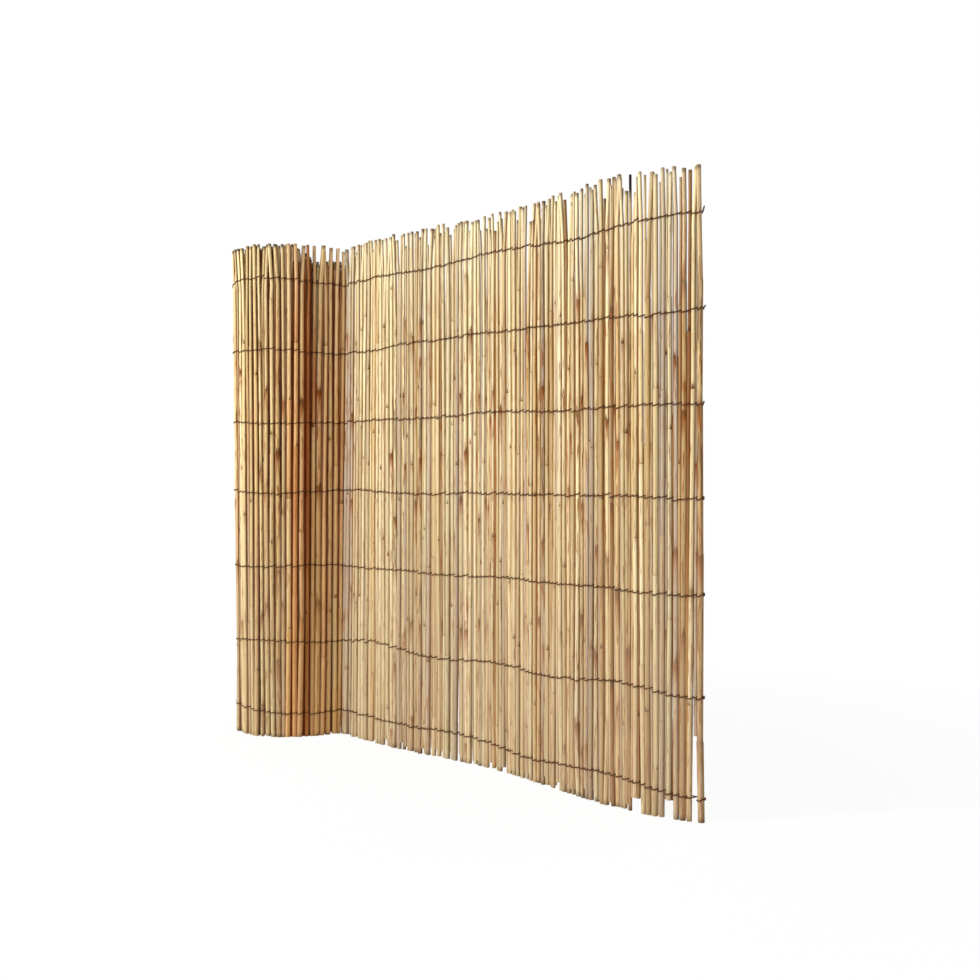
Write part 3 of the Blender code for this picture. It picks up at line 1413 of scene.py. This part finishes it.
    @staticmethod
    def _gap_at(bunch: Bunch, after: Bunch, height: float) -> float:
        """How wide the gap between two bunches' thicker reeds is.

        Args:
            bunch: The bunch before the gap.
            after: The bunch after it.
            height: Where it is measured.

        Returns:
            The width, negative where the reeds would overlap.
        """
        near, near_radius = bunch.reed.at(height)
        far, far_radius = after.reed.at(height)
        return (far - near).length - near_radius - far_radius

    def _part(self, distance: float) -> Place:
        """The part of the mat at a distance."""
        first, last = self.flank_places
        return Place.ROLL if distance < first else Place.FLANK if distance < last else Place.SHEET

    def _dip_at(self, station: Station) -> float:
        """How much lower a reed in the roll is cut, on the side that the flank hides."""
        turn = (math.degrees(station.heading) + 90) % 360 - 180
        return self.dip * float(np.interp(turn, self.dip_turns_deg, (0, 1, 1, 0)))

    def _tones_at(self, distance: float) -> dict[Tone, float]:
        """The shares of tones among the thicker reeds, which change near the free end.

        Args:
            distance: Where they stand along the line.

        Returns:
            The shares.
        """
        part = self._part(distance)
        # Painted shade: greyer reeds in the fold, redder ones in the flank.
        if part is Place.SHEET and distance < self.fold_until:
            return self.fold_tones
        if part is Place.SHEET:
            near_end = np.interp(distance, self.end_places, (0, 1))
            return self.end_tones if self.rng.random() < near_end else self.tones
        return self.flank_tones if part is Place.FLANK else self.rolled_tones

    def _lean(self, run: Run, station: Station, distance: float) -> Vector:
        """How far a reed leans in plan in a metre: the roll flares, and the fold leans.

        Args:
            run: The run that it is in.
            station: Where it stands.
            distance: How far that is along the line.

        Returns:
            The lean.
        """
        flare = float(np.interp(distance, self.flare_places, (1, 0))) * self.flare
        fold = float(np.interp(distance, self.fold_places, (0, 1, 1, 0)))
        slope = plan_vector(station.heading - math.pi / 2) * flare + Vector(self.fold_lean) * fold
        return slope + plan_vector(self.rng.uniform(0, math.tau)) * self.rng.uniform(0, run.tilt)

    def _cut(self, run: Run, distance: float) -> tuple[float, float]:
        """How high the butt and the tip of a reed are.

        Args:
            run: The run that it is in.
            distance: Where it stands along the line.

        Returns:
            The two heights.
        """
        rng = self.rng
        low = rng.choice((0.0, 0.0, rng.uniform(0, self.foot_scatter)))
        scatter = float(np.interp(distance, self.scatter_places, run.cut_scatter))
        high = self.height - rng.uniform(0, scatter)
        if rng.random() < self.short_share:
            high -= self.short_by * rng.random()
        return low, high

    def _draw(self, shares: dict[Tone, float]) -> Tone:
        """Draws a tone by its share."""
        return self.rng.choices(list(shares), list(shares.values()))[0]

    def _place(
        self,
        canes: Sequence[Cane],
        station: Station,
        point: Vector,
        slope: Vector,
        girth: float,
        cut: tuple[float, float],
    ) -> StandingReed:
        """Gives a cane its turn, girth, cut length and lean at a point.

        Args:
            canes: The kinds of cane.
            station: Where the line is.
            point: Where the reed stands in plan, at half its height.
            slope: How far it leans in plan in a metre.
            girth: Its thickness as a share of the kind's own.
            cut: How high its butt and its tip are.

        Returns:
            The reed.
        """
        cane = self.rng.choice([cane for cane in canes if cane.name not in self.recent])
        self.recent = [*self.recent, cane.name][-self.unlike :]
        low, high = cut
        spin = self.rng.uniform(0, math.tau)
        turn = Matrix.Rotation(spin, 4, "Z")
        matrix = Matrix.Diagonal((girth, girth, (high - low) / cane.length, 1)) @ turn
        matrix[0][2], matrix[1][2] = slope.x, slope.y
        foot = point - slope * (self.height / 2)
        matrix[0][3], matrix[1][3], matrix[2][3] = foot.x, foot.y, low
        spoil = self.rng.random() * self.most_spoil
        return StandingReed(cane, matrix, girth, spin - station.heading, spoil)

    def _copy(
        self,
        reed: StandingReed,
        master: bpy.types.Object,
        stems: dict[Place, bpy.types.Material],
    ) -> bpy.types.Object:
        """Copies a cane with its own mesh, puts it in place and gives it its own look.

        Args:
            reed: The reed to make.
            master: The cane's object.
            stems: The material of the stems in each part.

        Returns:
            The copy.
        """
        rng = self.rng
        copy = master.copy()
        copy.data = copy.data.copy()
        copy.data.materials[0] = stems[reed.part]
        bpy.context.scene.collection.objects.link(copy)
        mesh = copy.data
        mesh.transform(reed.matrix)
        layer = mesh.uv_layers["stem"].data
        place = np.zeros(len(layer) * 2)
        layer.foreach_get("uv", place)
        shifted = place.reshape(-1, 2) + (rng.random(), rng.uniform(0, self.map_shift))
        layer.foreach_set("uv", shifted.ravel())
        look = np.zeros((len(mesh.vertices), 4))
        look[:, 0] = rng.uniform(*reed.tone.value)
        look[:, 1] = rng.random()
        look[:, 2] = reed.spoil
        # How much each point faces the next reeds along the mat: the mask of the painted side
        # shade.
        look[:, 3] = np.abs(np.cos(reed.cane.spokes + reed.spin))
        wear_and_side_shade = mesh.color_attributes.new(name="wear_and_side_shade", type="FLOAT_COLOR", domain="POINT")
        wear_and_side_shade.data.foreach_set("color", look.ravel())
        return copy


# ----------------------------------------------------------------------- wires


@dataclass(frozen=True)
class WireRow:
    """One row of wire: its height, and how it falls, waves and ripples along the mat.

    It falls from level_from on, and runs level further inside the roll.
    """

    number: int
    height: float
    fall: float
    wave: float
    wave_length: float
    wave_phase: float
    ripple: float
    ripple_length: float
    ripple_phase: float
    level_from: float = -0.3

    def at(self, distance: float) -> float:
        """How high the row runs.

        Args:
            distance: Where along the mat.

        Returns:
            The height above the floor.
        """
        turn = math.tau * distance
        slow = self.wave * math.sin(turn / self.wave_length + self.wave_phase)
        quick = self.ripple * math.sin(turn / self.ripple_length + self.ripple_phase)
        return self.height - self.fall * max(distance, self.level_from) + slow + quick


@dataclass(frozen=True)
class WireTail:
    """The twisted end of a row. Its start and spread count in wire thicknesses."""

    length: float = 0.0045
    long_length: float = 0.009
    pitch: float = 0.0040
    steps: int = 14
    start: float = 0.8
    spread: float = 0.52
    flatness: float = 0.6
    most_lean: float = 0.4
    ahead: float = 0.25
    out: float = 0.35
    up: float = 0.85


@dataclass
class TwinedWires:
    """Two strands in each row, which change places between every two bunches.

    A strand climbs or falls as it passes a bunch: at rise_places, from one side of it to the
    other, it is front_rise or rear_rise times the twist off the row's height.
    """

    mat: ReedMat
    # Number, height, fall, wave, its length and phase, ripple, its length and phase.
    rows: tuple[WireRow, ...] = (
        WireRow(1, 0.9262, 0.0068, 0.0040, 0.59, 2.53, 0.0027, 0.353, 4.19),
        WireRow(2, 0.7853, 0.0078, 0.0039, 0.79, 3.86, 0.0012, 0.181, 3.79),
        WireRow(3, 0.6421, 0.0086, 0.0026, 1.08, 4.94, 0.0023, 0.398, 5.69),
        WireRow(4, 0.4998, 0.0085, 0.0022, 0.50, 5.55, 0.0025, 0.388, 0.05),
        WireRow(5, 0.3468, 0.0015, 0.0015, 0.64, 0.83, 0.0019, 0.274, 1.38),
        WireRow(6, 0.1940, 0.0033, 0.0038, 0.77, 0.58, 0.0046, 0.322, 3.78),
        WireRow(7, 0.0523, 0.0101, 0.0040, 0.50, 3.71, 0.0038, 0.357, 5.80),
    )
    thickness: float = 0.0019
    twist: float = 0.0021
    unevenness: float = 0.00112
    tail: WireTail = WireTail()
    rise_places: tuple[float, ...] = (0.0, 0.25, 0.5, 0.75, 1.0)
    front_rise: tuple[float, ...] = (-0.8, -0.8, -0.5, 0.1, 0.8)
    rear_rise: tuple[float, ...] = (-0.6, -0.3, 0.0, 0.3, 0.6)
    seed: int = 5

    def build(self, finish: bpy.types.Material) -> None:
        """Makes one piece for each row.

        Args:
            finish: The wire's material.
        """
        rng = random.Random(self.seed)
        for row in self.rows:
            curve = bpy.data.curves.new(f"twined_wire_{row.number}", "CURVE")
            curve.dimensions = "3D"
            curve.bevel_depth = self.thickness / 2
            curve.bevel_resolution = 1
            curve.use_fill_caps = True
            heights = [
                row.at(bunch.distance) + rng.gauss(0, self.unevenness)
                for bunch in self.mat.bunches
            ]
            lean = rng.uniform(-self.tail.most_lean, self.tail.most_lean)
            tail = self.tail.long_length if row.number == 1 else self.tail.length
            for strand in (0, 1):
                points = self._strand(strand, heights, lean, tail)
                spline = curve.splines.new("POLY")
                spline.points.add(len(points) - 1)
                for spot, place in zip(spline.points, points):
                    spot.co = (*place, 1)
            curve.materials.append(finish)
            piece = bpy.data.objects.new(curve.name, curve)
            bpy.context.scene.collection.objects.link(piece)
            select_only(piece)
            bpy.ops.object.convert(target="MESH")
            piece = bpy.context.object
            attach(piece, "root")
            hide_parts(f"binding_wire_{row.number}")
            LOG.info("%s: %d faces", piece.name, len(piece.data.polygons))

    def _strand(
        self, strand: int, heights: Sequence[float], lean: float, tail: float
    ) -> list[Vector]:
        """The line of one strand.

        Args:
            strand: Which of the two it is, 0 or 1.
            heights: How high each bunch is held.
            lean: Which way the tails lean.
            tail: How long they are.

        Returns:
            Its points, from the innermost turn to the free end.
        """
        bunches = self.mat.bunches
        points = self._tail(bunches[0], heights[0], strand, -1, lean, tail)[::-1]
        for index, (bunch, height) in enumerate(zip(bunches, heights)):
            front = (index + strand) % 2 == 0
            side = Side.FRONT if front else Side.REAR
            rise = self.front_rise if front else self.rear_rise
            lift = self.twist * (1 if front else -1)
            outline = bunch.profile(height, side, self.thickness / 2)
            first, last = outline[0][0], outline[-1][0]
            for along, out in outline:
                share = np.interp((along - first) / (last - first), self.rise_places, rise)
                place = bunch.station.beside(along, out)
                points.append(Vector((place.x, place.y, height + lift * float(share))))
            if index + 1 < len(bunches):
                middle = (height + heights[index + 1]) / 2
                points.append(self._crossing(bunch, bunches[index + 1], middle, lift))
        return points + self._tail(bunches[-1], heights[-1], strand, 1, lean, tail)

    @staticmethod
    def _crossing(bunch: Bunch, after: Bunch, height: float, lift: float) -> Vector:
        """Where a strand crosses the gap after a bunch.

        Args:
            bunch: The bunch before the gap.
            after: The bunch after it.
            height: The height of the twist.
            lift: How far this strand is above its middle.

        Returns:
            The point.
        """
        near, near_radius = bunch.reeds()[-1].at(height)
        far, far_radius = after.reed.at(height)
        place = near.lerp(far, near_radius / (near_radius + far_radius))
        return Vector((place.x, place.y, height + lift))

    def _tail(
        self, bunch: Bunch, height: float, strand: int, ahead: int, lean: float, length: float
    ) -> list[Vector]:
        """The short end past the last bunch, where the two strands are twisted together.

        Args:
            bunch: The last bunch.
            height: How high it is held.
            strand: Which of the two strands it is, 0 or 1.
            ahead: 1 at the free end, -1 in the middle of the roll.
            lean: How far the end leans along the mat.
            length: How long the end is.

        Returns:
            The points, from the bunch to the tip.
        """
        tail = self.tail
        centre, radius = bunch.reed.at(height)
        apart = (centre - bunch.station.point).dot(plan_vector(bunch.station.heading))
        start = apart + ahead * (radius + self.thickness * tail.start)
        wide = self.thickness * tail.spread
        points = []
        for count in range(tail.steps + 1):
            run = count / tail.steps * length
            spin = math.tau * run / tail.pitch + math.pi * strand
            swing = math.sin(spin) * wide * tail.flatness
            along = start + run * (tail.ahead * ahead + lean) + swing
            place = bunch.station.beside(along, math.cos(spin) * wide + run * tail.out)
            points.append(Vector((place.x, place.y, height + run * tail.up + swing)))
        return points


# ---------------------------------------------------------------------- studio


@dataclass(frozen=True)
class Lamp:
    """A square lamp: where it hangs, its power in watts and its side."""

    name: str
    place: tuple[float, float, float]
    power: float
    size: float


@dataclass
class Studio:
    """The floor, the light and the camera."""

    eye: tuple[float, float, float] = (1.7664, -1.4697, 0.505)
    azimuth_deg: float = 47.65
    lens: float = 45.92
    sensor: float = 36.0
    rise: float = -0.0020
    floor_size: float = 14.0
    lamps: tuple[Lamp, ...] = (
        Lamp("key_light", (-1.55, -3.9, 2.8), 205.0, 0.8),
        Lamp("fill_light", (3.4, -2.2, 2.4), 13.0, 2.4),
        Lamp("rear_light", (1.2, 3.8, 2.6), 42.0, 2.4),
    )
    aim: tuple[float, float, float] = (-0.1, 0.0, 0.5)
    air: Colour = srgb(255, 251, 244)
    air_strength: float = 0.45
    backdrop: Colour = srgb(255, 255, 255)

    def build(self) -> None:
        """Sets the whole studio up."""
        self._floor()
        for lamp in self.lamps:
            self._hang(lamp)
        self._air()
        self._camera()
        bpy.context.scene.view_settings.view_transform = "Standard"
        LOG.info("studio: floor, %d lamps, air and camera", len(self.lamps))

    def _floor(self) -> None:
        """Lays a plain white floor."""
        bpy.ops.object.select_all(action="DESELECT")
        bpy.ops.mesh.primitive_plane_add(size=self.floor_size, location=(0, 0, 0))
        floor = bpy.context.object
        floor.name = "floor"
        floor.data.materials.append(FloorFinish().build())

    def _hang(self, lamp: Lamp) -> None:
        """Hangs a lamp that faces the middle of the screen.

        Args:
            lamp: The lamp.
        """
        data = bpy.data.lights.new(lamp.name, "AREA")
        data.energy = lamp.power
        data.size = lamp.size
        hung = bpy.data.objects.new(lamp.name, data)
        hung.location = lamp.place
        towards = Vector(self.aim) - Vector(lamp.place)
        hung.rotation_euler = towards.to_track_quat("-Z", "Y").to_euler()
        bpy.context.scene.collection.objects.link(hung)

    def _air(self) -> None:
        """Fills the room with soft light, and shows plain white behind the object."""
        world = bpy.data.worlds.new("studio_air")
        bpy.context.scene.world = world
        tree = ShaderTree(world)
        warm = {"Color": self.air, "Strength": self.air_strength}
        soft = tree.add("ShaderNodeBackground", None, warm)
        plain = {"Color": self.backdrop, "Strength": 1.0}
        white = tree.add("ShaderNodeBackground", None, plain)
        tree.finish(tree.add("ShaderNodeMixShader", None, (tree.seen_directly(), soft, white)))

    def _camera(self) -> None:
        """Stands a level camera at the height of the screen's middle."""
        data = bpy.data.cameras.new("camera")
        data.lens = self.lens
        data.sensor_width = self.sensor
        data.shift_y = self.rise
        camera = bpy.data.objects.new("camera", data)
        camera.location = self.eye
        camera.rotation_euler = (math.pi / 2, 0, math.radians(self.azimuth_deg))
        bpy.context.scene.collection.objects.link(camera)
        bpy.context.scene.camera = camera


def main() -> None:
    """Builds the reeds, the wires and the studio."""
    logging.basicConfig(level=logging.INFO, format="%(name)s: %(message)s")
    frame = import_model()
    LOG.info("frame: %d nodes", len(frame["nodes"]))
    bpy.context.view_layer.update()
    mat = ReedMat(MatLine())
    stems = {part: finish.build() for part, finish in reed_finishes().items()}
    mat.build(stems, CutEndFinish().build())
    TwinedWires(mat).build(WireFinish().build())
    Studio().build()


if __name__ == "__main__":
    main()
